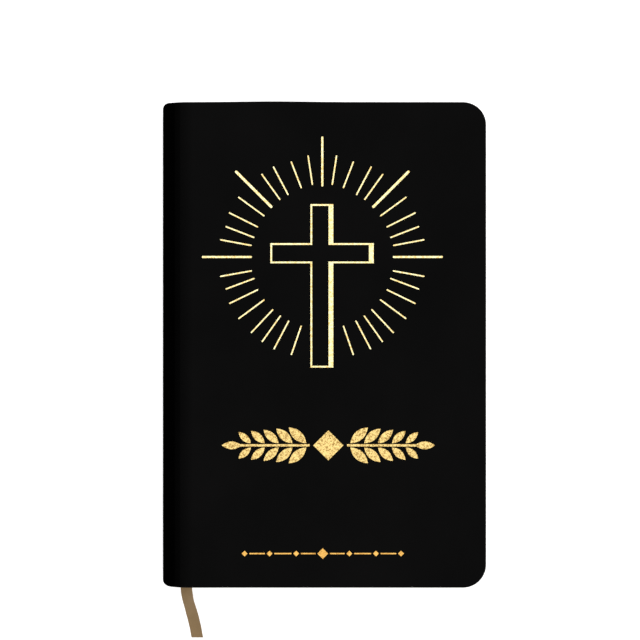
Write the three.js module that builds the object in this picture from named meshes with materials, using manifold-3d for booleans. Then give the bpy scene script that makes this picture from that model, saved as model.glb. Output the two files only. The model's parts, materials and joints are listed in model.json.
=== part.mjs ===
// A soft leather Bible lying closed on its back cover.
// Millimetres, +Z out of the front cover, +X towards the fore-edge, +Y towards the head.
// The origin is the middle of the back cover's underside.
import * as THREE from 'three';
import { mergeVertices } from 'three/addons/utils/BufferGeometryUtils.js';
import Module from 'manifold-3d';

const wasm = await Module();
wasm.setup();

// The closed book
const BOOK_WIDTH = 140;
const BOOK_HEIGHT = 210;
const BOOK_THICKNESS = 28;
const FORE_EDGE = BOOK_WIDTH / 2;
const MIDDLE = BOOK_THICKNESS / 2;
const FORE_CORNER_RADIUS = 10;
const SPINE_CORNER_RADIUS = 3.5;

// The spine is an arc between the two hinge lines
const SPINE_DEPTH = 11;
const HINGE_X = -FORE_EDGE + SPINE_DEPTH;
const SPINE_RADIUS = (SPINE_DEPTH ** 2 + MIDDLE ** 2) / (2 * SPINE_DEPTH);
const SPINE_CENTRE_X = -FORE_EDGE + SPINE_RADIUS;
const SPINE_SWEEP = 84;
const MIDDLE_SEAM = 0.1;
const HINGE_SEAM = 0.1;

// Covers
const COVER_THICKNESS = 2;
const LEATHER_THICKNESS = 0.7;
const TURN_IN_WIDTH = 11;
const TURN_IN_CORNER_RADIUS = 2;
const TURN_IN_THICKNESS = 0.4;
const LEATHER_WALL = 0.8;
const BOARD_THICKNESS = 0.65;
const BOARD_CLEARANCE = 0.05;
const BOARD_SETBACK = 4;
const PASTEDOWN_THICKNESS = 0.1;
const PASTEDOWN_MARGIN = 4;

// Leaves
const SQUARE = 3;
const FORE_EDGE_SQUARE = 3.5;
const LEAF_HALF_HEIGHT = BOOK_HEIGHT / 2 - SQUARE;
const LEAF_CORNER_RADIUS = 7;
const LEAF_FORE_EDGE = FORE_EDGE - FORE_EDGE_SQUARE;
const LEAF_GAP = 0.1;
const FLYLEAF_THICKNESS = 0.2;
const LEAF_SETBACK = 0.2;
const LEAF_HINGE_X = HINGE_X + LEAF_SETBACK;
const BLOCK_SPINE_RADIUS = 12.5;
const BLOCK_BOTTOM = COVER_THICKNESS + FLYLEAF_THICKNESS + 2 * LEAF_GAP;
const BLOCK_TOP = BOOK_THICKNESS - BLOCK_BOTTOM;
const CENTRE_LEAF_THICKNESS = 0.15;
const RIBBON_THICKNESS = 0.26;
const CENTRE_GAP = 0.2;
const REAR_SECTIONS = 5;
const FRONT_SECTIONS = 4;
const FIRST_SECTION_THICKNESS = 1.6;

// Ribbon marker
const RIBBON_WIDTH = 5;
const RIBBON_HEAD = [-65.2, 101];
const RIBBON_TAIL_EXIT = [-59.7, -102];
// Centreline of the free tail: over the edge of the leaves, down, and along the table
const RIBBON_TAIL_ROUTE = [
  [-59.7, -102.3, 14],
  [-59.85, -105, 13.8],
  [-59.65, -107.8, 12.9],
  [-59.25, -110.5, 11.1],
  [-58.85, -112.6, 9],
  [-58.3, -114.9, 6.5],
  [-57.8, -117.1, 4.2],
  [-57.2, -119.4, 2.4],
  [-56.7, -121.8, 1.25],
  [-56.15, -124.2, 0.85],
  [-55.8, -126.3, 0.76],
  [-55.4, -128.4, 0.75],
];
const RIBBON_STEPS = 24;

// Spine layers under the leather, from the outside in: name, outer radius, thickness, half sweep
const SPINE_LAYERS = [
  ['spine_card', 13.6, 0.4, 60],
  ['spine_lining', 13.1, 0.15, 56],
  ['mull', 12.85, 0.2, 56],
];
const LAYER_SETBACK = 0.5;
const LAYER_HALF_HEIGHT = LEAF_HALF_HEIGHT - LAYER_SETBACK;

// Headbands
const HEADBAND_RADIUS = 0.8;
const HEADBAND_ARC_RADIUS = 11.5;
const HEADBAND_START = 1;
const HEADBAND_SWEEP = 52;
const HEADBAND_CLEARANCE = 0.1;
const HEADBAND_SIDES = 8;
const HEADBAND_POINTS = 6;
const HEADBAND_STEPS = 10;

// Gold foil on the front cover
const FOIL_THICKNESS = 0.05;
const FOIL_CLEARANCE = 0.03;
const FOIL_LEVEL = BOOK_THICKNESS + FOIL_CLEARANCE;
const STROKE = 0.92;
const HEAVY_STROKE = 2.3;
const CROSS = { left: -6, right: 4.5, bottom: -10.1, top: 60.9 };
const CROSS_ARM = { left: -23.4, right: 21.8, bottom: 35, top: 43.9 };
const ORNAMENT = { x: 1.9, y: -43.5, halfWidth: 46, halfHeight: 6.5, stem: 0.6 };
const RULE = { x: -0.5, y: -90.2, halfWidth: 35, halfHeight: 0.5 };

const CORNER_SEGMENTS = 8;
const ARC_SEGMENTS = 14;

// How far a cutting shape reaches past what it cuts
const OVERSHOOT = 1;
const FINE_OVERSHOOT = 0.01;
const MERGE_DISTANCE = 1e-4;

const LOOKS = {
  leather: { color: 0x0d0d0d, roughness: 0.75 },
  board: { color: 0x8c8474, roughness: 0.9 },
  endpaper: { color: 0xefeade, roughness: 0.9 },
  paper: { color: 0xf3efe4, roughness: 0.9 },
  lining: { color: 0xc9b893, roughness: 0.95 },
  mull: { color: 0xe6e0d0, roughness: 1 },
  headband: { color: 0xd8c9a0, roughness: 0.85 },
  ribbon: { color: 0x8b7350, roughness: 0.6 },
  foil: { color: 0xf2d98c, roughness: 0.3, metalness: 1 },
};
const materials = {};
for (const [slot, look] of Object.entries(LOOKS)) {
  materials[slot] = new THREE.MeshStandardMaterial(look);
}

const book = new THREE.Group();

function add(name, geometry, slot) {
  const mesh = new THREE.Mesh(geometry, materials[slot]);
  mesh.name = name;
  book.add(mesh);
}

function toSolid(geometry) {
  const plain = geometry.clone();
  plain.deleteAttribute('normal');
  plain.deleteAttribute('uv');
  const merged = mergeVertices(plain, MERGE_DISTANCE);
  return new wasm.Manifold(new wasm.Mesh({
    numProp: 3,
    vertProperties: new Float32Array(merged.attributes.position.array),
    triVerts: new Uint32Array(merged.index.array),
  }));
}

function toGeometry(solid) {
  const mesh = solid.getMesh();
  const geometry = new THREE.BufferGeometry();
  geometry.setAttribute('position', new THREE.BufferAttribute(mesh.vertProperties, 3));
  geometry.setIndex(new THREE.BufferAttribute(mesh.triVerts, 1));
  geometry.computeVertexNormals();
  return geometry;
}

// A flat outline with one corner radius at the fore-edge and one at the spine side; 0 is a square corner
function outline(left, right, halfHeight, foreRadius, leftRadius = 0) {
  const shape = new THREE.Shape();
  const corners = [
    [right, -halfHeight, foreRadius, -1, 1],
    [right, halfHeight, foreRadius, -1, -1],
    [left, halfHeight, leftRadius, 1, -1],
    [left, -halfHeight, leftRadius, 1, 1],
  ];
  corners.forEach(([x, y, radius, inX, inY], i) => {
    const start = ((i - 1) * Math.PI) / 2;
    if (radius > 0) {
      shape.absarc(x + inX * radius, y + inY * radius, radius, start, start + Math.PI / 2);
    } else if (i === 0) {
      shape.moveTo(x, y);
    } else {
      shape.lineTo(x, y);
    }
  });
  shape.closePath();
  return shape;
}

function slab(shape, low, high, steps = 1) {
  const geometry = new THREE.ExtrudeGeometry(shape, {
    depth: high - low,
    steps,
    bevelEnabled: false,
    curveSegments: CORNER_SEGMENTS,
  });
  return geometry.translate(0, 0, low);
}

// Turns a slab made for the back cover into the front cover's, face for face
function mirrorUp(low, high, isFront) {
  return isFront ? [BOOK_THICKNESS - high, BOOK_THICKNESS - low] : [low, high];
}

// One cover: a leather skin turned in over three edges of a board, and its pasted endpaper
function addCover(side, isFront) {
  const skinLeft = HINGE_X + HINGE_SEAM;
  const halfHeight = BOOK_HEIGHT / 2;
  const level = (low, high) => mirrorUp(low, high, isFront);
  const turnInLow = LEATHER_THICKNESS + BOARD_THICKNESS + 2 * BOARD_CLEARANCE;
  const turnInHigh = turnInLow + TURN_IN_THICKNESS;
  const skin = slab(
    outline(skinLeft, FORE_EDGE, halfHeight, FORE_CORNER_RADIUS),
    ...level(0, turnInHigh),
  );
  const pocket = slab(
    outline(
      skinLeft - OVERSHOOT,
      FORE_EDGE - LEATHER_WALL,
      halfHeight - LEATHER_WALL,
      FORE_CORNER_RADIUS - LEATHER_WALL,
    ),
    ...level(LEATHER_THICKNESS, turnInLow),
  );
  const window = slab(
    outline(
      skinLeft - OVERSHOOT,
      FORE_EDGE - TURN_IN_WIDTH,
      halfHeight - TURN_IN_WIDTH,
      TURN_IN_CORNER_RADIUS,
    ),
    ...level(LEATHER_THICKNESS, COVER_THICKNESS + OVERSHOOT),
  );
  const leather = toSolid(skin).subtract(toSolid(pocket)).subtract(toSolid(window));
  add(`${side}_cover_leather`, toGeometry(leather), 'leather');

  const boardInset = LEATHER_WALL + BOARD_CLEARANCE;
  const boardLow = LEATHER_THICKNESS + BOARD_CLEARANCE;
  add(
    `${side}_board`,
    slab(
      outline(
        HINGE_X + BOARD_SETBACK,
        FORE_EDGE - boardInset,
        halfHeight - boardInset,
        FORE_CORNER_RADIUS - boardInset,
      ),
      ...level(boardLow, boardLow + BOARD_THICKNESS),
    ),
    'board',
  );
  add(
    `${side}_pastedown`,
    slab(
      outline(
        LEAF_HINGE_X,
        FORE_EDGE - PASTEDOWN_MARGIN,
        halfHeight - PASTEDOWN_MARGIN,
        FORE_CORNER_RADIUS - PASTEDOWN_MARGIN,
      ),
      ...level(COVER_THICKNESS - PASTEDOWN_THICKNESS, COVER_THICKNESS),
    ),
    'endpaper',
  );
}

function addFlyleaf(name, isFront) {
  const low = COVER_THICKNESS + LEAF_GAP;
  add(
    name,
    slab(
      outline(LEAF_HINGE_X, LEAF_FORE_EDGE, LEAF_HALF_HEIGHT, LEAF_CORNER_RADIUS),
      ...mirrorUp(low, low + FLYLEAF_THICKNESS, isFront),
    ),
    'endpaper',
  );
}

// The folds of the leaves follow the round spine, and every leaf has the same width
function foldX(z) {
  return SPINE_CENTRE_X - Math.sqrt(BLOCK_SPINE_RADIUS ** 2 - (z - MIDDLE) ** 2);
}
const LEAF_WIDTH = LEAF_FORE_EDGE - foldX(BLOCK_TOP);

function addLeaves(name, low, high, { squareAtHinge = false, steps = 2 } = {}) {
  const geometry = slab(
    outline(0, LEAF_WIDTH, LEAF_HALF_HEIGHT, LEAF_CORNER_RADIUS),
    low,
    high,
    steps,
  );
  const position = geometry.attributes.position;
  for (let i = 0; i < position.count; i += 1) {
    const isFold = position.getX(i) < MERGE_DISTANCE;
    const shifted = position.getX(i) + foldX(position.getZ(i));
    position.setX(i, isFold && squareAtHinge ? LEAF_HINGE_X : shifted);
  }
  geometry.computeVertexNormals();
  add(name, geometry, 'paper');
}

function addSections(side, count, low, high) {
  const pitch = (high - low + LEAF_GAP) / count;
  for (let i = 0; i < count; i += 1) {
    const bottom = low + i * pitch;
    addLeaves(`${side}_section_${i + 1}`, bottom, bottom + pitch - LEAF_GAP);
  }
}

// A band of an arc about the spine's centre, swept from the middle towards one cover
function spineBand(outerRadius, thickness, sweepDegrees, halfHeight, isFront) {
  const start = Math.asin(MIDDLE_SEAM / (outerRadius - thickness));
  const end = THREE.MathUtils.degToRad(sweepDegrees);
  const shape = new THREE.Shape();
  shape.absarc(SPINE_CENTRE_X, MIDDLE, outerRadius, Math.PI + start, Math.PI + end);
  shape.absarc(SPINE_CENTRE_X, MIDDLE, outerRadius - thickness, Math.PI + end, Math.PI + start, true);
  const geometry = new THREE.ExtrudeGeometry(shape, {
    depth: 2 * halfHeight,
    steps: 1,
    bevelEnabled: false,
    curveSegments: ARC_SEGMENTS,
  });
  geometry.rotateX(Math.PI / 2).translate(0, halfHeight, 0);
  if (isFront) {
    // Half a turn about the line across the middle of the spine gives the upper half
    geometry.translate(0, 0, -MIDDLE).rotateX(Math.PI).translate(0, 0, MIDDLE);
  }
  return geometry;
}

function addSpine(side, isFront) {
  const halfHeight = BOOK_HEIGHT / 2;
  const band = spineBand(SPINE_RADIUS, LEATHER_THICKNESS, SPINE_SWEEP, halfHeight, isFront);
  const left = -FORE_EDGE - FINE_OVERSHOOT;
  const mask = slab(
    outline(left, HINGE_X - HINGE_SEAM, halfHeight, 0, SPINE_CORNER_RADIUS),
    -OVERSHOOT,
    BOOK_THICKNESS + OVERSHOOT,
  );
  add(`spine_leather_${side}`, toGeometry(toSolid(band).intersect(toSolid(mask))), 'leather');
  const slots = { spine_card: 'board', spine_lining: 'lining', mull: 'mull' };
  for (const [name, radius, thickness, sweep] of SPINE_LAYERS) {
    const layer = spineBand(radius, thickness, sweep, LAYER_HALF_HEIGHT, isFront);
    add(`${name}_${side}`, layer, slots[name]);
  }
}

function addHeadbands(side, isFront) {
  const direction = isFront ? 1 : -1;
  const section = new THREE.Shape();
  for (let i = 0; i < HEADBAND_SIDES; i += 1) {
    const angle = (2 * Math.PI * (i + 0.5)) / HEADBAND_SIDES;
    const place = [HEADBAND_RADIUS * Math.cos(angle), HEADBAND_RADIUS * Math.sin(angle)];
    if (i === 0) section.moveTo(...place);
    else section.lineTo(...place);
  }
  section.closePath();
  for (const [name, end] of [['headband', 1], ['tailband', -1]]) {
    const y = end * (LEAF_HALF_HEIGHT + HEADBAND_RADIUS + HEADBAND_CLEARANCE);
    const points = [];
    for (let i = 0; i <= HEADBAND_POINTS; i += 1) {
      const degrees = HEADBAND_START + (HEADBAND_SWEEP * i) / HEADBAND_POINTS;
      const angle = THREE.MathUtils.degToRad(degrees);
      points.push(new THREE.Vector3(
        SPINE_CENTRE_X - HEADBAND_ARC_RADIUS * Math.cos(angle),
        y,
        MIDDLE + direction * HEADBAND_ARC_RADIUS * Math.sin(angle),
      ));
    }
    const geometry = new THREE.ExtrudeGeometry(section, {
      steps: HEADBAND_STEPS,
      bevelEnabled: false,
      extrudePath: new THREE.CatmullRomCurve3(points),
    });
    add(`${name}_${side}`, geometry, 'headband');
  }
}

function addRibbon() {
  const half = RIBBON_WIDTH / 2;
  const strip = new THREE.Shape();
  strip.moveTo(RIBBON_TAIL_EXIT[0] - half, RIBBON_TAIL_EXIT[1]);
  strip.lineTo(RIBBON_TAIL_EXIT[0] + half, RIBBON_TAIL_EXIT[1]);
  strip.lineTo(RIBBON_HEAD[0] + half, RIBBON_HEAD[1]);
  strip.lineTo(RIBBON_HEAD[0] - half, RIBBON_HEAD[1]);
  add(
    'ribbon_inner',
    slab(strip, MIDDLE - RIBBON_THICKNESS / 2, MIDDLE + RIBBON_THICKNESS / 2),
    'ribbon',
  );
  const section = new THREE.Shape();
  section.moveTo(-half, -RIBBON_THICKNESS / 2);
  section.lineTo(half, -RIBBON_THICKNESS / 2);
  section.lineTo(half, RIBBON_THICKNESS / 2);
  section.lineTo(-half, RIBBON_THICKNESS / 2);
  const route = new THREE.CatmullRomCurve3(
    RIBBON_TAIL_ROUTE.map((point) => new THREE.Vector3(...point)),
  );
  const tail = new THREE.ExtrudeGeometry(section, {
    steps: RIBBON_STEPS,
    bevelEnabled: false,
    extrudePath: route,
  });
  add('ribbon_tail', tail, 'ribbon');
}

function addPolygon(path, points) {
  path.moveTo(...points[0]);
  for (const point of points.slice(1)) path.lineTo(...point);
  path.closePath();
}

function crossPoints(bar, arm) {
  return [
    [bar.left, bar.bottom],
    [bar.right, bar.bottom],
    [bar.right, arm.bottom],
    [arm.right, arm.bottom],
    [arm.right, arm.top],
    [bar.right, arm.top],
    [bar.right, bar.top],
    [bar.left, bar.top],
    [bar.left, arm.top],
    [arm.left, arm.top],
    [arm.left, arm.bottom],
    [bar.left, arm.bottom],
  ];
}

function insetBox(box) {
  return {
    left: box.left + STROKE,
    right: box.right - HEAVY_STROKE,
    bottom: box.bottom + STROKE,
    top: box.top - STROKE,
  };
}

function addFoil() {
  const cross = new THREE.Shape();
  addPolygon(cross, crossPoints(CROSS, CROSS_ARM));
  const inside = new THREE.Path();
  addPolygon(inside, crossPoints(insetBox(CROSS), insetBox(CROSS_ARM)).reverse());
  cross.holes.push(inside);
  add('foil_cross', slab(cross, FOIL_LEVEL, FOIL_LEVEL + FOIL_THICKNESS), 'foil');

  const { x, y, halfWidth, halfHeight, stem } = ORNAMENT;
  const ornament = new THREE.Shape();
  addPolygon(ornament, [
    [x - halfWidth, y - stem],
    [x - halfHeight, y - stem],
    [x, y - halfHeight],
    [x + halfHeight, y - stem],
    [x + halfWidth, y - stem],
    [x + halfWidth, y + stem],
    [x + halfHeight, y + stem],
    [x, y + halfHeight],
    [x - halfHeight, y + stem],
    [x - halfWidth, y + stem],
  ]);
  add('foil_ornament', slab(ornament, FOIL_LEVEL, FOIL_LEVEL + FOIL_THICKNESS), 'foil');

  const rule = new THREE.Shape();
  addPolygon(rule, [
    [RULE.x - RULE.halfWidth, RULE.y - RULE.halfHeight],
    [RULE.x + RULE.halfWidth, RULE.y - RULE.halfHeight],
    [RULE.x + RULE.halfWidth, RULE.y + RULE.halfHeight],
    [RULE.x - RULE.halfWidth, RULE.y + RULE.halfHeight],
  ]);
  add('foil_rule', slab(rule, FOIL_LEVEL, FOIL_LEVEL + FOIL_THICKNESS), 'foil');
}

// Rear half of the book
addCover('back', false);
addFlyleaf('rear_flyleaf', false);
const rearCentre = MIDDLE - CENTRE_GAP;
addSections('rear', REAR_SECTIONS, BLOCK_BOTTOM, rearCentre - CENTRE_LEAF_THICKNESS - LEAF_GAP);
addLeaves('centre_leaf_rear', rearCentre - CENTRE_LEAF_THICKNESS, rearCentre, { steps: 1 });
addSpine('rear', false);
addHeadbands('rear', false);
addRibbon();

// Front half of the book
const frontCentre = MIDDLE + CENTRE_GAP;
addLeaves('centre_leaf_front', frontCentre, frontCentre + CENTRE_LEAF_THICKNESS, { steps: 1 });
addSections(
  'front',
  FRONT_SECTIONS,
  frontCentre + CENTRE_LEAF_THICKNESS + LEAF_GAP,
  BLOCK_TOP - FIRST_SECTION_THICKNESS - LEAF_GAP,
);
addSpine('front', true);
addHeadbands('front', true);
addLeaves('first_section', BLOCK_TOP - FIRST_SECTION_THICKNESS, BLOCK_TOP, { squareAtHinge: true });
addFlyleaf('front_flyleaf', true);
addCover('front', true);
addFoil();

export default book;
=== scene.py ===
import json
import math

import bmesh
import bpy
import numpy as np
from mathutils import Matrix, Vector


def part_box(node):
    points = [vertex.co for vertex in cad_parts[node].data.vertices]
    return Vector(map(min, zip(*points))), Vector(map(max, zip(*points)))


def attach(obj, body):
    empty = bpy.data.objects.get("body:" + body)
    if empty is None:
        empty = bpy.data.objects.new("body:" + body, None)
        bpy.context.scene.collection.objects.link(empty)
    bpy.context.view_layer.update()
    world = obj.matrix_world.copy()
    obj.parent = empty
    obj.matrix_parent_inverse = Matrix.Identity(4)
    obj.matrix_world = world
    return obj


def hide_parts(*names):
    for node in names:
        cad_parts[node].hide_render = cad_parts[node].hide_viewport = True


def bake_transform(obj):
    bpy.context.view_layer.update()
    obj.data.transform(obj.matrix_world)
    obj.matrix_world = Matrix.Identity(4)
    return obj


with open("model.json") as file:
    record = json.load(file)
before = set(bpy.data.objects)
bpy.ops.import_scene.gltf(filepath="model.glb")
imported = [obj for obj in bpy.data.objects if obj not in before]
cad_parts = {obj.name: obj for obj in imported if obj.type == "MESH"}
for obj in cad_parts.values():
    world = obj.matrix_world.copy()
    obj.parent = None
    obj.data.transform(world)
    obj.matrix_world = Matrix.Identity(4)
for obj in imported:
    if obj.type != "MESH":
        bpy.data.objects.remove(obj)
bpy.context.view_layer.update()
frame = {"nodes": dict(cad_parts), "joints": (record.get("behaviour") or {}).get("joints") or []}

MM = 0.001
random_numbers = np.random.default_rng(7)

# -------- places, from the frame
COVER_LOW, COVER_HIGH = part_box("front_cover_leather")
SPINE_LOW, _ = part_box("spine_leather_front")
JOINTS = {joint["name"]: joint for joint in frame["joints"]}

FORE_EDGE = COVER_HIGH.x
HALF_HEIGHT = COVER_HIGH.y
TOP = COVER_HIGH.z
MIDDLE = TOP / 2
COVER_DEPTH = COVER_HIGH.z - COVER_LOW.z
HINGE_X = JOINTS["front_cover_hinge"]["pos_m"][0]
FOLD_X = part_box("first_section")[0].x
SPINE_X = SPINE_LOW.x
SPINE_DEPTH = HINGE_X - SPINE_X
SPINE_RADIUS = (SPINE_DEPTH**2 + MIDDLE**2) / (2 * SPINE_DEPTH)
SPINE_CENTRE_X = SPINE_X + SPINE_RADIUS
SPINE_SWEEP = math.asin(MIDDLE / SPINE_RADIUS)

# -------- driving sizes
# Covers: the edge band is the rounded rim, and the wall is the leather beside the board
FORE_CORNER_RADIUS = 10 * MM
LEATHER = 0.7 * MM
EDGE_BAND = 3 * MM
WALL = 0.8 * MM
TURN_IN = 11 * MM
TURN_IN_THICKNESS = 0.4 * MM
TURN_IN_BEVEL = 0.12 * MM
PLEATS = 7
PLEAT_HEIGHT = 0.1 * MM
COVER_COLUMNS = 46
# Where the cover starts to curve into the spine, from the hinge, and the gap between their skins
HINGE_SOFTNESS = 3 * MM
HINGE_GAP = 0.004 * MM
# How uneven the front cover is, and its head edge's dip, with the crest's place and spread
SURFACE_WAVE = 0.035 * MM
HEAD_DIP = 0.3 * MM
HEAD_CREST = (-22 * MM, 20 * MM)

# Spine: the rolled cap's length and depth, its lip, and the inner seam's turn in radians
CAP_ROLL = (2.8 * MM, 3.1 * MM)
CAP_LIP = 0.35 * MM
SEAM_EASE = 0.0146
# The turn-in's reach at the hinge
HINGE_LIP = 4 * MM
SPINE_RINGS = 36
# The first and last ring of each kind of leather, from the middle of the spine to the hinge; the first has
# no gloss and the second little, painted shade on the spine
SPINE_BANDS = {"dull_leather": (0, 24), "worn_leather": (24, 29), "cover_leather": (29, 35)}
# Painted shade: the leather's colour darkens to this share between these places, towards the spine, where
# the cover rolls away from the light
SPINE_SHADE_SHARE = 0.12
SPINE_SHADE_PLACES = (-65 * MM, -56.5 * MM)

# Sections: slices of a few leaves, out of line, and grown over the gaps between the solids
LEAF_CORNER_RADIUS = 7 * MM
LEAF_SLICE = 0.17 * MM
LEAF_SCATTER = 0.07 * MM
SECTION_GROWTH = 0.045 * MM
# Points this near in height are one level
SAME_LEVEL = 0.01 * MM
# About a whole turn, in radians
NEAR_TURN = 6.28
# Between the glued shoulder folds and the leaves round them
SHOULDER_GAP = 0.1 * MM

# Folded sheets: how far the fold stands out, and the share of its height that stays rigid
FOLD_BULGE = 0.12 * MM
ENDPAPER_THICKNESS = 0.09 * MM
GUARD_THICKNESS = 0.03 * MM
GUARD_WIDTH = 6 * MM
GUARD_CORNER_RADIUS = 0.5 * MM

# Centre spread: places across the book, and distances from its middle height
SPREAD_CLEARANCE = 0.05 * MM
SPREAD_TIPS = (0.15 * MM, 0.25 * MM)
THROAT_X = -66 * MM
OUTER_THROAT = [(-68.3 * MM, 0.10 * MM), (-69.4 * MM, 0.045 * MM)]
INNER_THROAT = [(-69.2 * MM, 0.03 * MM), (-68 * MM, 0.1 * MM)]
RIBBON_POCKET = (-50 * MM, 0.12 * MM)
POCKET_SLOPE = 9 * MM
PAGE_GAP = 0.03 * MM
FOLD_HALF = 0.02 * MM
CREASE_HALF = 0.01 * MM
# The fold is shorter than the leaves by this share, over this share of their width
FOLD_DRAW_IN = 0.012
DRAW_IN_REACH = 0.03

# Headbands: threads in half a band, steps in a thread and sides of the cord
BAND_THREADS = 16
BAND_STEPS = 6
BAND_SIDES = 14
# As shares of the cord's radius: a thread's height, and the end's distance from its box
THREAD_BULGE = 0.14
BAND_END = 0.3

# Ribbon marker: thicker at the selvedges, and cupped and twisted in its free tail
RIBBON_WIDTH = 5 * MM
RIBBON_THICKNESS = 0.18 * MM
SELVEDGE_START = 0.36
SELVEDGE_SWELL = 0.25
RIBBON_CUP = 0.12 * MM
CUP_REACH = 6 * MM
CUP_FADE = 0.7
RIBBON_TWIST = math.radians(24)
TWIST_REACH = 16 * MM
RIBBON_LIFT = 0.02 * MM
RIBBON_END_CUT = 3 * MM
ROUTE_STEPS = 10
# The ribbon's centreline in millimetres: down the gutter, over the leaves' edge, along the table
RIBBON_ROUTE = [
    (-65.2, 101, 14),
    (-64.6, 80, 14),
    (-63.8, 55, 14),
    (-62.9, 25, 14),
    (-62.1, -5, 14),
    (-61.4, -35, 14),
    (-60.6, -65, 14),
    (-59.9, -90, 14),
    (-59.7, -102.3, 14),
    (-59.85, -105, 13.8),
    (-59.65, -107.8, 12.9),
    (-59.25, -110.5, 11.1),
    (-58.85, -112.6, 9.0),
    (-58.3, -114.9, 6.5),
    (-57.8, -117.1, 4.1),
    (-57.2, -119.4, 2.1),
    (-56.7, -121.8, 0.9),
    (-56.15, -124.2, 0.35),
    (-55.8, -126.3, 0.2),
    (-55.4, -128.4, 0.15),
]

# Foil: how high it stands over the leather and how deep it reaches into it
FOIL_LIFT = 0.06 * MM
FOIL_SINK = 0.05 * MM
# From here on in millimetres. A box is (left, right, bottom, top)
STROKE = 0.72
HEAVY_STROKE = 2.03
CROSS_BAR = (-5.8, 4.03, -9.9, 60.6)
CROSS_ARM = (-23.1, 21.45, 35.1, 43.75)
OUTLINE_STEP = 5
RAY_CENTRE = (-0.7, 37.8)
# A ray is (inner angle, outer angle, inner radius, outer radius, stroke), with angles in degrees
LONG_RAYS = [
    (0, 0, 30.4, 52.0, 0.86),
    (44.5, 44.7, 30.4, 52.8, 1.08),
    (90, 90, 30.4, 52.0, 0.86),
    (135.5, 135.3, 30.4, 52.8, 1.08),
    (180, 180, 30.4, 52.0, 0.86),
]
# The short rays of the right half, all of one stroke; the left half mirrors them
SHORT_RAY_STROKE = 0.6
SHORT_RAYS = [
    (82.2, 82.0, 31.4, 44.3),
    (73.1, 71.9, 31.0, 43.4),
    (61.2, 61.5, 30.5, 44.4),
    (53.6, 53.8, 30.6, 44.4),
    (35.2, 35.5, 30.6, 44.6),
    (24.9, 25.4, 30.6, 44.6),
    (15.9, 17.5, 30.5, 43.8),
    (9.2, 9.6, 30.9, 44.7),
    (-11.1, -10.8, 31.0, 44.9),
    (-17.5, -18.4, 30.7, 44.0),
    (-26.9, -26.6, 31.1, 45.0),
    (-36.4, -36.4, 31.0, 45.0),
    (-46.8, -46.8, 31.0, 45.0),
    (-54.6, -54.6, 31.0, 45.0),
    (-62.3, -62.3, 31.0, 45.0),
    (-73.0, -72.4, 31.0, 44.4),
]
# The ornament: a lozenge, and on each side a stem with pairs of leaves and one leaf at its end
LOZENGE = 6.5
STEM_START = 1.6
STEM_END = 8
STEM_HALF_WIDTH = 0.5
LEAF_PAIRS = 5
FIRST_LEAVES = 3.0
LEAVES_END = 12
LEAF_LENGTH = 10.2
LEAF_SHORTENING = 0.75
LEAF_PROPORTION = 0.40
LEAF_ANGLE = 42
LEAF_BASE = 0.9
END_LEAF = (8.6, 3.4)
# The rule: where along its half length the lozenges stand, and their sizes
RULE_LOZENGES = {-1.0: 1.25, -0.68: 1.25, -0.34: 1.25, 0.0: 2.3, 0.34: 1.25, 0.68: 1.25, 1.0: 1.25}
RULE_GAP = 0.8
RULE_HALF_WIDTH = 0.28

# -------- mesh helpers


def new_object(name, data):
    obj = bpy.data.objects.new(name, data)
    bpy.context.scene.collection.objects.link(obj)
    return obj


class Shell:
    """Collects points and faces, and makes one object of them."""

    def __init__(self):
        self.points = []
        self.faces = []
        self.looks = []

    def add_points(self, points):
        """Adds an array of points and returns their indices in the same shape."""
        points = np.asarray(points, float)
        start = sum(len(block) for block in self.points)
        self.points.append(points.reshape(-1, 3))
        count = points.size // 3
        return np.arange(start, start + count).reshape(points.shape[:-1])

    def add_face(self, corners, look=0):
        self.faces.append([int(c) for c in corners])
        self.looks.append(look)

    def add_grid(self, grid, close_columns=False, look=0):
        """Quads over a grid of point indices."""
        rows, columns = grid.shape
        for r in range(rows - 1):
            for c in range(columns if close_columns else columns - 1):
                beside = (c + 1) % columns
                self.add_face((grid[r, c], grid[r, beside], grid[r + 1, beside], grid[r + 1, c]), look)

    def close_ends(self, rings, first_look=0, last_look=0):
        """A face over the first and the last ring of point indices."""
        self.add_face(rings[0], first_look)
        self.add_face(rings[-1], last_look)

    def make(self, name, materials, smooth=True, sharp_angle=40):
        mesh = bpy.data.meshes.new(name)
        mesh.from_pydata(np.concatenate(self.points).tolist(), [], self.faces)
        bm = bmesh.new()
        bm.from_mesh(mesh)
        for face, look in zip(bm.faces, self.looks):
            face.material_index = look
        bmesh.ops.recalc_face_normals(bm, faces=bm.faces)
        for face in bm.faces:
            face.smooth = smooth
        for edge in bm.edges:
            if edge.is_manifold and edge.calc_face_angle(0) > math.radians(sharp_angle):
                edge.smooth = False
        bm.to_mesh(mesh)
        bm.free()
        for material in materials:
            mesh.materials.append(material)
        return new_object(name, mesh)


def tube(rings):
    """A shell of closed rings of points, with both ends closed."""
    shell = Shell()
    index = shell.add_points(rings)
    shell.add_grid(index, close_columns=True)
    shell.close_ends(index)
    return shell


def dress(obj, body, slot, *nodes):
    """Rides obj on its body and hides the CAD nodes that it stands for; slot is not used."""
    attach(obj, body)
    if nodes:
        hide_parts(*nodes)


# -------- materials
# A wave texture of scale 1 has a wave every 2 pi / 20 units
WAVE_PERIOD = 2 * math.pi / 20


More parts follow.
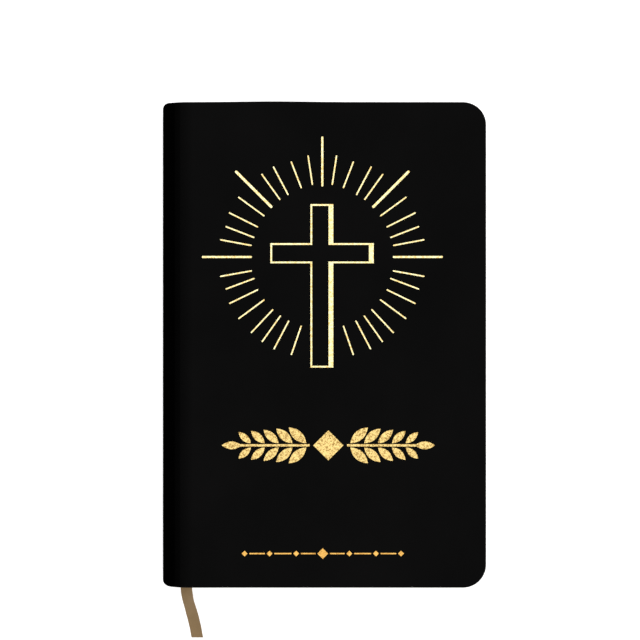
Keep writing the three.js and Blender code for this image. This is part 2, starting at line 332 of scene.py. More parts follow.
class Nodes:
    """A material's node tree with short ways to add nodes."""

    def __init__(self, name):
        self.material = bpy.data.materials.new(name)
        self.material.use_nodes = True
        self.tree = self.material.node_tree
        self.shader = self.tree.nodes["Principled BSDF"]
        self.coordinates = self.tree.nodes.new("ShaderNodeTexCoord").outputs["Object"]

    def add(self, kind, **values):
        node = self.tree.nodes.new(kind)
        for key, value in values.items():
            if hasattr(node, key):
                setattr(node, key, value)
            else:
                node.inputs[key.replace("_", " ")].default_value = value
        return node

    def link(self, source, target):
        self.tree.links.new(source, target)

    def set(self, **values):
        for key, value in values.items():
            self.shader.inputs[key.replace("_", " ")].default_value = value

    def stretched(self, x, y, z):
        """The object's coordinates with each axis scaled."""
        mapping = self.add("ShaderNodeMapping", Scale=(x, y, z))
        self.link(self.coordinates, mapping.inputs["Vector"])
        return mapping.outputs["Vector"]

    def noise(self, scale, detail, roughness=0.5, vector=None):
        node = self.add("ShaderNodeTexNoise", Scale=scale, Detail=detail, Roughness=roughness)
        self.link(vector or self.coordinates, node.inputs["Vector"])
        return node.outputs["Fac"]

    def cells(self, scale, output="Distance", feature="F1"):
        node = self.add("ShaderNodeTexVoronoi", Scale=scale, feature=feature)
        self.link(self.coordinates, node.inputs["Vector"])
        return node.outputs[output]

    def wave(self, scale, direction, distortion):
        node = self.add("ShaderNodeTexWave", Scale=scale, Distortion=distortion)
        node.bands_direction = direction
        self.link(self.coordinates, node.inputs["Vector"])
        return node.outputs["Fac"]

    def ramp(self, source, *stops):
        """A colour ramp with two stops, each (place, colour)."""
        node = self.add("ShaderNodeValToRGB")
        for element, (place, colour) in zip(node.color_ramp.elements, stops):
            element.position = place
            element.color = (*colour, 1)
        self.link(source, node.inputs["Fac"])
        return node.outputs["Color"]

    def span(self, source, low, high, start=0.0, end=1.0):
        """Maps start to low and end to high."""
        node = self.add("ShaderNodeMapRange", From_Min=start, From_Max=end, To_Min=low, To_Max=high)
        self.link(source, node.inputs["Value"])
        return node.outputs["Result"]

    def combine(self, operation, a, b):
        node = self.add("ShaderNodeMath", operation=operation)
        for socket, value in zip(node.inputs, (a, b)):
            if isinstance(value, (int, float)):
                socket.default_value = value
            else:
                self.link(value, socket)
        return node.outputs["Value"]

    def blend(self, a, a_share, b, b_share):
        """The sum of two values, each times its share."""
        return self.combine(
            "ADD", self.combine("MULTIPLY", a, a_share), self.combine("MULTIPLY", b, b_share)
        )

    def bump(self, height, distance, strength, below=None):
        node = self.add("ShaderNodeBump", Strength=strength, Distance=distance)
        self.link(height, node.inputs["Height"])
        if below is not None:
            self.link(below, node.inputs["Normal"])
        return node.outputs["Normal"]

    def colour(self, source):
        self.link(source, self.shader.inputs["Base Color"])

    def roughness(self, source):
        self.link(source, self.shader.inputs["Roughness"])

    def normal(self, source):
        self.link(source, self.shader.inputs["Normal"])


def leather_material(name, specular):
    n = Nodes(name)
    pebbles = n.cells(scale=1500, feature="SMOOTH_F1")
    pores = n.noise(scale=5200, detail=2)
    clouds = n.noise(scale=28, detail=4)
    tone = n.ramp(clouds, (0.3, (0.0021, 0.0021, 0.0021)), (0.75, (0.0030, 0.0029, 0.0029)))
    place = n.add("ShaderNodeSeparateXYZ")
    n.link(n.coordinates, place.inputs["Vector"])
    # Painted shade: the base colour darkens towards the spine
    painted_spine_shade = n.span(place.outputs["X"], SPINE_SHADE_SHARE, 1.0, *SPINE_SHADE_PLACES)
    mix = n.add("ShaderNodeMix", data_type="RGBA", blend_type="MULTIPLY", Factor=1)
    n.link(tone, mix.inputs["A"])
    n.link(painted_spine_shade, mix.inputs["B"])
    n.colour(mix.outputs["Result"])
    n.roughness(n.span(n.noise(scale=700, detail=3), low=0.62, high=0.6))
    fine = n.bump(pores, distance=0.04 * MM, strength=0.5)
    n.normal(n.bump(pebbles, distance=0.12 * MM, strength=0.55, below=fine))
    n.set(Specular_IOR_Level=specular)
    return n.material


def foil_material(name, bright, deep, grain_scale, speckle):
    """Metal foil in grains of many tones; speckle is the grains' share, beside slow patches."""
    n = Nodes(name)
    grains = n.cells(grain_scale, output="Color")
    shade = n.add("ShaderNodeSeparateColor")
    n.link(grains, shade.inputs["Color"])
    patches = n.noise(scale=420, detail=3)
    mixed = n.blend(shade.outputs["Red"], speckle, patches, 1 - speckle)
    n.colour(n.ramp(mixed, (0.18, deep), (0.62, bright)))
    n.roughness(n.span(shade.outputs["Green"], low=0.35, high=0.57))
    n.normal(n.bump(shade.outputs["Blue"], distance=0.03 * MM, strength=0.35 + 0.4 * speckle))
    n.set(Metallic=0.55, Specular_IOR_Level=0.6)
    return n.material


def paper_material(name, light, dark, edge_lines=False):
    """Fibrous paper; edge_lines adds the fine lines of a stack of leaves seen from the side."""
    n = Nodes(name)
    fibres = n.noise(scale=900, detail=5, roughness=0.65)
    clouds = n.noise(scale=35, detail=2)
    tone = n.blend(fibres, 0.7, clouds, 0.3)
    if edge_lines:
        fine = n.noise(scale=1, detail=3, roughness=0.8, vector=n.stretched(40, 40, 9000))
        broad = n.noise(scale=1, detail=2, roughness=0.7, vector=n.stretched(14, 14, 1700))
        streaks = n.blend(fine, 0.5, broad, 0.5)
        tone = n.blend(tone, 0.3, streaks, 0.7)
        n.normal(n.bump(streaks, distance=0.06 * MM, strength=0.6))
    else:
        n.normal(n.bump(fibres, distance=0.01 * MM, strength=0.4))
    n.colour(n.ramp(tone, (0.3, dark), (0.62, light)))
    n.roughness(n.span(fibres, low=0.78, high=0.95))
    n.set(Specular_IOR_Level=0.25)
    return n.material


def woven_material(name, light, dark, threads, roughness, sheen):
    """Threads that cross at right angles along X and Y, about 1 / threads metres apart."""
    n = Nodes(name)
    warp = n.wave(threads * WAVE_PERIOD, "X", distortion=0.3)
    weft = n.wave(threads * WAVE_PERIOD, "Y", distortion=0.3)
    weave = n.combine("MAXIMUM", warp, n.combine("MULTIPLY", weft, 0.8))
    fuzz = n.noise(scale=2600, detail=4, roughness=0.7)
    patches = n.noise(scale=60, detail=2)
    soft = n.blend(fuzz, 0.25, patches, 0.3)
    tone = n.combine("ADD", n.combine("MULTIPLY", weave, 0.45), soft)
    n.colour(n.ramp(tone, (0.25, dark), (0.75, light)))
    n.roughness(n.span(fuzz, roughness - 0.08, roughness + 0.1))
    fluff = n.bump(fuzz, distance=0.03 * MM, strength=0.4)
    n.normal(n.bump(weave, distance=0.08 * MM, strength=0.7, below=fluff))
    n.set(Sheen_Weight=sheen, Sheen_Roughness=0.4, Specular_IOR_Level=0.15)
    return n.material


def board_material():
    n = Nodes("grey_board")
    flecks = n.noise(scale=1400, detail=6, roughness=0.75)
    n.colour(n.ramp(flecks, (0.3, (0.22, 0.20, 0.16)), (0.7, (0.42, 0.39, 0.33))))
    n.roughness(n.span(flecks, low=0.85, high=0.98))
    n.normal(n.bump(flecks, distance=0.05 * MM, strength=0.5))
    n.set(Specular_IOR_Level=0.2)
    return n.material


MATERIALS = {
    "cover_leather": leather_material("black_leather", 0.014),
    # Copies of the leather with less gloss, painted shade on the spine
    "worn_leather": leather_material("black_leather_worn", 0.004),
    "dull_leather": leather_material("black_leather_dull", 0.0),
    "cover_board": board_material(),
    "endpaper": paper_material("endpaper", (0.76, 0.73, 0.65), (0.71, 0.675, 0.59)),
    "bible_paper": paper_material("bible_paper", (0.77, 0.745, 0.67), (0.57, 0.535, 0.45), edge_lines=True),
    "lining_paper": paper_material("kraft_lining", (0.50, 0.37, 0.22), (0.38, 0.27, 0.15)),
    "mull_cloth": woven_material(
        "mull", (0.80, 0.77, 0.6), (0.45, 0.42, 0.35), threads=1500, roughness=0.9, sheen=0.1
    ),
    "ribbon": woven_material(
        "ribbon_satin", (0.25, 0.165, 0.082), (0.155, 0.102, 0.047), threads=3400, roughness=0.6, sheen=0.0
    ),
    "band_light": woven_material(
        "band_cream", (0.82, 0.77, 0.64), (0.6, 0.54, 0.42), threads=3000, roughness=0.7, sheen=0.2
    ),
    "band_dark": woven_material(
        "band_gold", (0.50, 0.33, 0.10), (0.30, 0.19, 0.05), threads=3000, roughness=0.6, sheen=0.2
    ),
    "gold_foil": foil_material("gold_foil", (0.94, 0.88, 0.50), (0.82, 0.55, 0.15), 1900, speckle=0.6),
    "gold_glitter": foil_material(
        "gold_glitter", (0.83, 0.61, 0.22), (0.33, 0.19, 0.035), 2300, speckle=0.75
    ),
    "orange_foil": foil_material(
        "orange_foil", (0.80, 0.46, 0.10), (0.52, 0.25, 0.035), 2300, speckle=0.6
    ),
}

# -------- camera
CAMERA_LENS = 250
SENSOR = 36
VIEW_WIDTH = 276.2 * MM
VIEW_CENTRE = (-1.7 * MM, 10.6 * MM)


def make_camera():
    """Straight above the front cover, far away, as flat as a product picture."""
    data = bpy.data.cameras.new("camera")
    data.lens = CAMERA_LENS
    data.sensor_width = SENSOR
    data.clip_end = 50
    camera = new_object("camera", data)
    camera.location = (*VIEW_CENTRE, TOP + VIEW_WIDTH * CAMERA_LENS / SENSOR)
    bpy.context.scene.camera = camera


make_camera()

# -------- ribbon marker


def smooth_route(points):
    """Catmull-Rom points through a route given in millimetres."""
    route = np.array(points, float) * MM
    padded = np.vstack([2 * route[0] - route[1], route, 2 * route[-1] - route[-2]])
    found = []
    for i in range(len(route) - 1):
        a, b, c, d = padded[i : i + 4]
        for t in np.linspace(0, 1, ROUTE_STEPS, endpoint=False):
            slope = (c - a) * t
            bend = (2 * a - 5 * b + 4 * c - d) * t**2
            twist = (3 * b - a - 3 * c + d) * t**3
            found.append(0.5 * (2 * b + slope + bend + twist))
    found.append(route[-1])
    return np.array(found)


def make_ribbon():
    line = smooth_route(RIBBON_ROUTE)
    along = np.gradient(line, axis=0)
    along /= np.linalg.norm(along, axis=1)[:, None]
    across = np.cross(along, (0, 0, 1))
    across /= np.linalg.norm(across, axis=1)[:, None]
    # A soft twist in the free tail, which is flat again where it lies on the table
    past_tail = -line[:, 1] - HALF_HEIGHT
    tail = np.clip(past_tail / TWIST_REACH, 0, 1)
    twist = RIBBON_TWIST * np.sin(math.pi * tail) ** 2
    up = np.cross(across, along)
    turned = across * np.cos(twist)[:, None] + up * np.sin(twist)[:, None]
    face = np.cross(turned, along)
    # A slight cup across the width and thicker selvedges
    shares = np.linspace(-0.5, 0.5, 9)
    cup = RIBBON_CUP * (1 - (2 * shares) ** 2)
    half = RIBBON_THICKNESS * (0.5 + SELVEDGE_SWELL * (np.abs(shares) > SELVEDGE_START))
    cup_along = np.clip(past_tail / CUP_REACH, 0, 1) * (1 - CUP_FADE * tail)
    section = [(s, h, c) for s, h, c in zip(shares, half, cup)]
    section += [(s, -h, c) for s, h, c in reversed(section)]
    grid = np.array([
        [
            line[i] + turned[i] * RIBBON_WIDTH * s + face[i] * (h + c * cup_along[i])
            for s, h, c in section
        ]
        for i in range(len(line))
    ])
    grid[..., 2] = np.maximum(grid[..., 2], RIBBON_LIFT)
    # The end is cut parallel to the book's tail edge
    lengths = np.linalg.norm(np.diff(line, axis=0), axis=1)
    travelled = np.concatenate([[0], np.cumsum(lengths)])
    cut = np.clip(1 - (travelled[-1] - travelled) / RIBBON_END_CUT, 0, 1)[:, None]
    shift = cut * (line[:, 1:2] - grid[..., 1]) / along[:, 1:2]
    grid += shift[..., None] * along[:, None, :]
    ribbon = tube(grid).make("ribbon_marker", [MATERIALS["ribbon"]])
    dress(ribbon, "rear_half", "ribbon", "ribbon_inner", "ribbon_tail")


make_ribbon()

# -------- covers


def hinge_drop(distance):
    """How far the surface sinks near the hinge, so that the flat cover runs smoothly into the spine."""
    slope = math.pi / 2 - SPINE_SWEEP
    inside = np.clip(HINGE_SOFTNESS - distance, 0, None)
    return slope * inside**2 / (4 * HINGE_SOFTNESS)


def soft_depth(x, y):
    """The front cover's gentle unevenness, as a depth below its highest level."""
    hollows = np.sin(x / (19 * MM) + 0.7) * np.cos(y / (27 * MM))
    swell = np.sin(y / (41 * MM) - x / (60 * MM))
    wave = 1 + 0.5 * hollows + 0.5 * swell
    return SURFACE_WAVE * wave + hinge_drop(x - HINGE_X)


def uneven_head(x, y):
    """The head edge's slow wave: a low crest with a dip to each side."""
    crest, spread = HEAD_CREST
    dip = HEAD_DIP * (1 - np.exp(-(((x - crest) / spread) ** 2)))
    return y - dip * np.clip(y / HALF_HEIGHT, 0, 1) ** 12


def rounded_rows(half_height, right, radius, straight, arc):
    """Rows across a panel with two round corners: y, right end, and the outward direction there."""
    rows = []
    for angle in np.linspace(math.pi / 2, 0, arc):
        rows.append((-(half_height - radius) - radius * math.sin(angle),
                     right - radius + radius * math.cos(angle), math.cos(angle), -math.sin(angle)))
    for y in np.linspace(-(half_height - radius), half_height - radius, straight)[1:-1]:
        rows.append((y, right, 1.0, 0.0))
    for y, end, nx, ny in reversed(rows[:arc]):
        rows.append((-y, end, nx, -ny))
    return np.array(rows)


def panel_grid(rows, left, shares):
    """Points of a panel, row by row, from its straight left side to the rows' right ends."""
    x = left + (rows[:, 1][:, None] - left) * shares[None, :]
    y = np.repeat(rows[:, 0][:, None], len(shares), axis=1)
    return x, y


def edge_profile():
    """The leather's path round an edge, as (outward, depth) from the edge of the flat skin."""
    r = COVER_DEPTH / 2
    centre = EDGE_BAND - r
    profile = [(centre * 0.5, 0.0)]
    for angle in np.linspace(math.pi / 2, -math.pi / 2, 11):
        profile.append((centre + r * math.cos(angle), r - r * math.sin(angle)))
    lip_end = EDGE_BAND - TURN_IN
    wall = EDGE_BAND - WALL
    under = COVER_DEPTH - TURN_IN_THICKNESS
    profile += [(0.0, COVER_DEPTH), (lip_end * 0.5, COVER_DEPTH), (lip_end * 0.96, COVER_DEPTH)]
    profile += [(lip_end, COVER_DEPTH - TURN_IN_BEVEL), (lip_end, under), (lip_end * 0.5, under)]
    profile += [(0.0, under), (wall, under), (wall, LEATHER * 1.02)]
    return profile


def make_cover(side):
    is_front = side == "front"
    rows = rounded_rows(
        HALF_HEIGHT - EDGE_BAND, FORE_EDGE - EDGE_BAND, FORE_CORNER_RADIUS - EDGE_BAND, 52, 16
    )
    # The columns stand closer together near the hinge, where the skin curves
    shares = np.linspace(0, 1, COVER_COLUMNS) ** 1.4
    x, y = panel_grid(rows, HINGE_X, shares)
    shell = Shell()

    def place(px, py, depth):
        """Points at a depth under the outer face, in the row frame."""
        outer_share = 1 - depth / COVER_DEPTH
        if is_front:
            sunk = depth + soft_depth(px, py) * outer_share
            return np.stack([px, uneven_head(px, py), TOP - sunk], axis=-1)
        return np.stack([px, py, depth + hinge_drop(px - HINGE_X) * outer_share], axis=-1)

    skin = shell.add_points(place(x, y, np.zeros_like(x)))
    under = shell.add_points(place(x, y, np.full_like(x, LEATHER)))
    shell.add_grid(skin)
    shell.add_grid(under)

    # The three bound edges are one sweep: tail, fore-edge, head
    last = len(shares) - 1
    around = [(0, i, 0.0, -1.0) for i in range(last)]
    around += [(j, last, row[2], row[3]) for j, row in enumerate(rows)]
    around += [(len(rows) - 1, i, 0.0, 1.0) for i in range(last - 1, -1, -1)]
    profile = edge_profile()
    sweep = np.zeros((len(around), len(profile), 3))
    for k, (j, i, nx, ny) in enumerate(around):
        turn = math.atan2(abs(ny), nx) if 0 < nx < 1 else 0
        pleat = PLEAT_HEIGHT * abs(math.sin(PLEATS * turn * 2))
        for p, (out, depth) in enumerate(profile):
            on_lip = depth >= COVER_DEPTH - 1e-9 and out < EDGE_BAND * 0.5
            sweep[k, p] = place(
                x[j, i] + nx * out, y[j, i] + ny * out, depth - (pleat if on_lip else 0)
            )
    swept = shell.add_points(sweep)
    first = np.array([skin[j, i] for j, i, _, _ in around])[:, None]
    end = np.array([under[j, i] for j, i, _, _ in around])[:, None]
    swept = np.hstack([first, swept, end])
    shell.add_grid(swept)
    shell.close_ends(swept)
    shell.add_grid(np.stack([skin[:, 0], under[:, 0]]))
    cover = shell.make(f"{side}_cover_skin", [MATERIALS["cover_leather"]], sharp_angle=50)
    dress(cover, f"{side}_cover", "cover_leather", f"{side}_cover_leather")


make_cover("front")
make_cover("back")

# -------- spine leather


def spine_end_profile(share):
    """The leather's path over the end of the spine, as (distance in from the end, depth).

    In the middle of the spine it is a rolled cap, and at the hinge it is the cover's bound edge.
    """
    edge = COVER_DEPTH / 2
    roll_length = CAP_ROLL[0] + (edge - CAP_ROLL[0]) * share
    roll_depth = CAP_ROLL[1] + (edge - CAP_ROLL[1]) * share
    lip = CAP_LIP + (edge - CAP_LIP) * share
    profile = [(roll_length * (1 - math.sin(a)), roll_depth * (1 - math.cos(a)))
               for a in np.linspace(0, math.pi / 2, 10)]
    profile += [(lip * (1 - math.cos(a)), roll_depth + lip * math.sin(a))
                for a in np.linspace(0, math.pi / 2, 6)[1:]]
    deep = roll_depth + lip
    cap_inside = np.array([(1.1, deep / MM), (1.2, 2.3), (1.3, 1.5), (3.0, 0.7)]) * MM
    edge_inside = np.array([
        (HINGE_LIP, deep), (HINGE_LIP, deep - TURN_IN_THICKNESS), (WALL, deep - TURN_IN_THICKNESS),
        (WALL, LEATHER),
    ])
    profile += [tuple(point) for point in cap_inside + (edge_inside - cap_inside) * share]
    return profile


def make_spine(side):
    up = 1 if side == "front" else -1
    angles = np.linspace(0, SPINE_SWEEP, SPINE_RINGS)
    lengthwise = np.linspace(-1, 1, 60)[1:-1]
    rings = []
    for angle in angles:
        share = angle / SPINE_SWEEP
        ends = spine_end_profile(share**2 * (3 - 2 * share))
        straight = HALF_HEIGHT - ends[0][0]
        path = [(y * straight, 0.0, 0.0) for y in lengthwise]
        eases = [0.0] * (len(ends) - 1) + [SEAM_EASE * (1 - share) ** 6]
        path += [(HALF_HEIGHT - inward, depth, ease) for (inward, depth), ease in zip(ends, eases)]
        path += [(-y, depth, ease) for y, depth, ease in reversed(path[len(lengthwise) :])]
        drop = float(hinge_drop(SPINE_RADIUS * (SPINE_SWEEP - angle)))
        ring = []
        for y, depth, ease in path:
            # ease turns the inner face back a little at the middle seam, clear of the centre fold
            radius = SPINE_RADIUS - depth
            outer_share = max(1 - depth / COVER_DEPTH, 0)
            rise = radius * math.sin(angle + ease) - drop * outer_share
            x = min(SPINE_CENTRE_X - radius * math.cos(angle + ease), HINGE_X - HINGE_GAP)
            if side == "front":
                uneven = float(soft_depth(HINGE_X, y)) - float(hinge_drop(0.0))
                rise -= uneven * outer_share * share**8
                y = float(uneven_head(x, y))
            ring.append((x, y, MIDDLE + up * rise))
        rings.append(ring)
    shell = Shell()
    index = shell.add_points(np.array(rings))
    # Painted shade: the middle of the spine gets a leather copy with no gloss and the next band one with
    # little, so that the spine looks shaded; the covers' faint gloss returns at the hinge
    for look, (first, last) in enumerate(SPINE_BANDS.values()):
        shell.add_grid(index[first : last + 1], close_columns=True, look=look)
    shell.close_ends(index, last_look=len(SPINE_BANDS) - 1)
    looks = [MATERIALS[name] for name in SPINE_BANDS]
    spine = shell.make(f"spine_skin_{side}", looks, sharp_angle=50)
    dress(spine, f"{side}_half", "cover_leather", f"spine_leather_{side}")


make_spine("front")
make_spine("rear")

# -------- leaves


def leaf_ring(left, right, half_height, radius):
    """The outline of a leaf as points and outward directions, from the fold's tail to its head."""
    tail = [(x, -half_height, 0, -1) for x in np.linspace(left, right - radius, 26)]
    for angle in np.linspace(-math.pi / 2, 0, 9)[1:]:
        nx, ny = math.cos(angle), math.sin(angle)
        tail.append((right - radius + radius * nx, radius - half_height + radius * ny, nx, ny))
    side = [(right, y, 1, 0) for y in np.linspace(radius - half_height, half_height - radius, 34)[1:]]
    head = [(x, -y, nx, -ny) for x, y, nx, ny in reversed(tail[:-1])]
    return np.array(tail + side + head)


def corners_of(node):
    return np.array([v.co for v in frame["nodes"][node].data.vertices])


def make_section(node, body, grow_low=True, grow_high=True):
    """A bundle of leaves with slightly uneven edges, following its CAD solid."""
    vertices = corners_of(node)
    low, high = vertices[:, 2].min(), vertices[:, 2].max()
    half_height = vertices[:, 1].max()
    levels = sorted(set(np.round(vertices[:, 2], 6)))
    across = [vertices[np.abs(vertices[:, 2] - z) < SAME_LEVEL][:, 0] for z in levels]
    lefts = [places.min() for places in across]
    rights = [places.max() for places in across]
    bottom = low - (SECTION_GROWTH if grow_low else 0)
    top = high + (SECTION_GROWTH if grow_high else 0)
    slices = max(1, round((top - bottom) / LEAF_SLICE))
    edges = np.linspace(bottom, top, slices + 1)
    rings = []
    for k in range(slices):
        middle = (edges[k] + edges[k + 1]) / 2
        left = np.interp(middle, levels, lefts)
        right = np.interp(middle, levels, rights)
        ring = leaf_ring(left, right, half_height, LEAF_CORNER_RADIUS)
        # Each slice is shifted as a whole and waves a little along its edge
        swing = random_numbers.uniform(-1, 1)
        phase, pace = random_numbers.uniform(0, NEAR_TURN), random_numbers.uniform(0.5, 2.2)
        turn = np.linspace(0, 1, len(ring))
        offset = LEAF_SCATTER * (0.6 * swing + 0.4 * np.sin(phase + NEAR_TURN * pace * turn) - 0.6)
        x = ring[:, 0] + ring[:, 2] * offset
        y = ring[:, 1] + ring[:, 3] * offset
        for z in (edges[k], edges[k + 1]):
            rings.append(np.stack([x, y, np.full_like(x, z)], axis=-1))
    section = tube(rings).make(f"{node}_leaves", [MATERIALS["bible_paper"]], smooth=False)
    dress(section, body, "bible_paper", node)


for number in range(1, 6):
    make_section(f"rear_section_{number}", "rear_half", grow_low=number > 1)
for number in range(1, 5):
    make_section(f"front_section_{number}", "front_half", grow_high=number < 4)
make_section("first_section", "first_leaves", grow_low=False, grow_high=False)


def make_shoulder():
    """The glued folds of the first leaves, between the spine and the line where those leaves turn."""
    vertices = corners_of("front_section_4")
    bottom, half_height = vertices[:, 2].max(), vertices[:, 1].max()
    corner_x = vertices[vertices[:, 2] > bottom - SHOULDER_GAP][:, 0].min()
    radius = math.hypot(SPINE_CENTRE_X - corner_x, bottom - MIDDLE)
    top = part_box("first_section")[1].z - SHOULDER_GAP
    right = FOLD_X - 2 * SHOULDER_GAP
    edges = np.linspace(bottom, top, max(2, round((top - bottom) / LEAF_SLICE)) + 1)
    rings = []
    for low, high in zip(edges, edges[1:]):
        left = SPINE_CENTRE_X - math.sqrt(radius**2 - (high - MIDDLE) ** 2)
        end = half_height - LEAF_SCATTER * random_numbers.uniform(0, 1)
        for z in (low, high):
            rings.append([(left, -end, z), (right, -end, z), (right, end, z), (left, end, z)])
    shoulder = tube(rings).make("front_shoulder_folds", [MATERIALS["bible_paper"]], smooth=False)
    dress(shoulder, "front_half", "bible_paper")


make_shoulder()

# -------- folded sheets across the joints


def make_folded_sheet(name, lower, upper, thickness, bodies, nodes=()):
    """A sheet folded at the hinge, with a leaf to each side of the fold; bodies is not used. A leaf is (z,
    right, half_height, radius).
    """
    shell = Shell()
    columns = []
    # The columns stand closer together near the fold
    shares = np.linspace(1, 0, 26) ** 1.3
    for z, right, half_height, radius in (lower, upper):
        rows = rounded_rows(half_height, right, radius, straight=40, arc=10)
        x, y = panel_grid(rows, FOLD_X, shares)
        columns.append(np.stack([x, y, np.full_like(x, z)], axis=-1))
    first, second = columns[0], columns[1][:, ::-1]
    z_low, z_high = lower[0], upper[0]
    bend = []
    for angle in np.linspace(-math.pi / 2, math.pi / 2, 13)[1:-1]:
        share = (math.sin(angle) + 1) / 2
        y = first[:, -1, 1] * (1 - share) + second[:, 0, 1] * share
        x = np.full_like(y, FOLD_X - FOLD_BULGE * math.cos(angle))
        bend.append(np.stack([x, y, np.full_like(y, z_low + (z_high - z_low) * share)], axis=-1))
    grid = np.concatenate([first, np.stack(bend, axis=1), second], axis=1)
    index = shell.add_points(grid)
    shell.add_grid(index)
    sheet = shell.make(name, [MATERIALS["endpaper"]], sharp_angle=180)
    solid = sheet.modifiers.new("thickness", "SOLIDIFY")
    solid.thickness = thickness
    solid.offset = 0
    if nodes:
        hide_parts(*nodes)
    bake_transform(sheet)


def leaf_of(node):
    """A leaf's facts from its CAD solid."""
    low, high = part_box(node)
    return (low.z + high.z) / 2, high.x, high.y, LEAF_CORNER_RADIUS


def leaves_between(bottom, top, right, radius):
    """Two leaves as tall as the sections, a quarter and three quarters of the way up a gap."""
    half_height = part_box("first_section")[1].y
    return [(bottom + share * (top - bottom), right, half_height, radius) for share in (0.25, 0.75)]


def make_folded_sheets():
    """The endpapers, the guards that tip them to the sections, and the first leaves' own fold."""
    section_low, section_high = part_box("first_section")
    flyleaf_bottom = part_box("front_flyleaf")[0].z
    front_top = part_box("front_section_4")[1].z
    rear_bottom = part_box("rear_section_1")[0].z
    rear_flyleaf_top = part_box("rear_flyleaf")[1].z
    guard = (FOLD_X + GUARD_WIDTH, GUARD_CORNER_RADIUS)
    make_folded_sheet(
        "front_endpaper", leaf_of("front_flyleaf"), leaf_of("front_pastedown"), ENDPAPER_THICKNESS,
        ("front_flyleaf", "front_cover"), ("front_flyleaf", "front_pastedown"),
    )
    make_folded_sheet(
        "rear_endpaper", leaf_of("back_pastedown"), leaf_of("rear_flyleaf"), ENDPAPER_THICKNESS,
        ("back_cover", "rear_flyleaf"), ("back_pastedown", "rear_flyleaf"),
    )
    make_folded_sheet(
        "front_tipped_guard", *leaves_between(section_high.z, flyleaf_bottom, *guard),
        GUARD_THICKNESS, ("first_leaves", "front_flyleaf"),
    )
    make_folded_sheet(
        "rear_tipped_guard", *leaves_between(rear_flyleaf_top, rear_bottom, *guard),
        GUARD_THICKNESS, ("rear_flyleaf", "rear_half"),
    )
    make_folded_sheet(
        "first_fold", *leaves_between(front_top, section_low.z, section_high.x, LEAF_CORNER_RADIUS),
        GUARD_THICKNESS, ("front_half", "first_leaves"),
    )


make_folded_sheets()


def make_centre_spread():
    """The middle leaves: one folded gathering, sewn through its fold, with the ribbon between its pages."""
    _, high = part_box("centre_leaf_rear")
    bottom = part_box("rear_section_5")[1].z + SPREAD_CLEARANCE
    right = high.x
    axis_x = JOINTS["middle_opening"]["pos_m"][0]
    outer_tip, inner_tip = [axis_x + tip for tip in SPREAD_TIPS]
    pocket_side, pocket_half = RIBBON_POCKET
    # (x, distance from the middle): outside up to the fold, and inside from the fold
    outside = [(x, MIDDLE - bottom) for x in np.linspace(right, THROAT_X, 22)]
    outside += [*OUTER_THROAT, (outer_tip, FOLD_HALF)]
    inside = [(inner_tip, CREASE_HALF), *INNER_THROAT]
    inside += [(x, pocket_half) for x in np.linspace(THROAT_X, pocket_side, 6)]
    inside += [(x, PAGE_GAP) for x in np.linspace(pocket_side + POCKET_SLOPE, right, 18)]
    # One closed loop: rear outside, fold, front outside, front inside, crease, rear inside
    loop = [(x, -d) for x, d in outside]
    loop += [(outer_tip - FOLD_HALF, -FOLD_HALF * s) for s in np.linspace(1, -1, 9)[1:-1]]
    loop += [(x, d) for x, d in reversed(outside)]
    loop += [(x, d) for x, d in reversed(inside)]
    loop += [(x, -d) for x, d in inside]
    rows = rounded_rows(high.y, right, LEAF_CORNER_RADIUS, straight=30, arc=9)
    grid = np.zeros((len(rows), len(loop), 3))
    for r, (y, end, _, _) in enumerate(rows):
        for c, (x, rise) in enumerate(loop):
            share = (x - axis_x) / (right - axis_x)
            drawn_in = FOLD_DRAW_IN * np.clip(1 - share / DRAW_IN_REACH, 0, 1)
            grid[r, c] = (axis_x + share * (end - axis_x), y * (1 - drawn_in), MIDDLE + rise)
    spread = tube(grid).make("centre_spread", [MATERIALS["bible_paper"]], sharp_angle=35)
    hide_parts("centre_leaf_rear", "centre_leaf_front")
    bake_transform(spread)


make_centre_spread()

# -------- headbands


def make_headband(name, side):
    """A cord wrapped in two colours of thread along the end of the spine."""
    node = f"{name}_{side}"
    low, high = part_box(node)
    y = (low.y + high.y) / 2
    radius = (high.y - low.y) / 2
    up = 1 if side == "front" else -1
    arc = SPINE_CENTRE_X - low.x - radius
    reach = high.z - MIDDLE if up > 0 else MIDDLE - low.z
    sweep = math.asin(min((reach - BAND_END * radius) / arc, 1))
    rings = []
    for i in range(BAND_THREADS * BAND_STEPS + 1):
        angle = sweep * i / (BAND_THREADS * BAND_STEPS)
        bulge = abs(math.sin(math.pi * i / BAND_STEPS)) ** 0.6
        r = radius * (1 - THREAD_BULGE + THREAD_BULGE * bulge)
        centre = np.array([
            SPINE_CENTRE_X - arc * math.cos(angle), y, MIDDLE + up * arc * math.sin(angle)
        ])
        outward = np.array([-math.cos(angle), 0, up * math.sin(angle)])
        ring = []
        for k in range(BAND_SIDES):
            a = 2 * math.pi * k / BAND_SIDES
            ring.append(centre + outward * r * math.cos(a) + np.array([0, 1, 0]) * r * math.sin(a))
        rings.append(ring)
    shell = Shell()
    index = shell.add_points(np.array(rings))
    for i in range(BAND_THREADS * BAND_STEPS):
        look = (i // BAND_STEPS) % 2
        shell.add_grid(index[i : i + 2], close_columns=True, look=look)
    shell.close_ends(index)
    band = shell.make(f"{node}_threads", [MATERIALS["band_light"], MATERIALS["band_dark"]])
    dress(band, f"{side}_half", "headband_cloth", node)


for band_name in ("headband", "tailband"):
    for band_side in ("front", "rear"):
        make_headband(band_name, band_side)

# -------- gold foil


def on_cover(x, y, lift):
    """A point over the front cover's face."""
    return (x, y, TOP - float(soft_depth(x, y)) + lift)


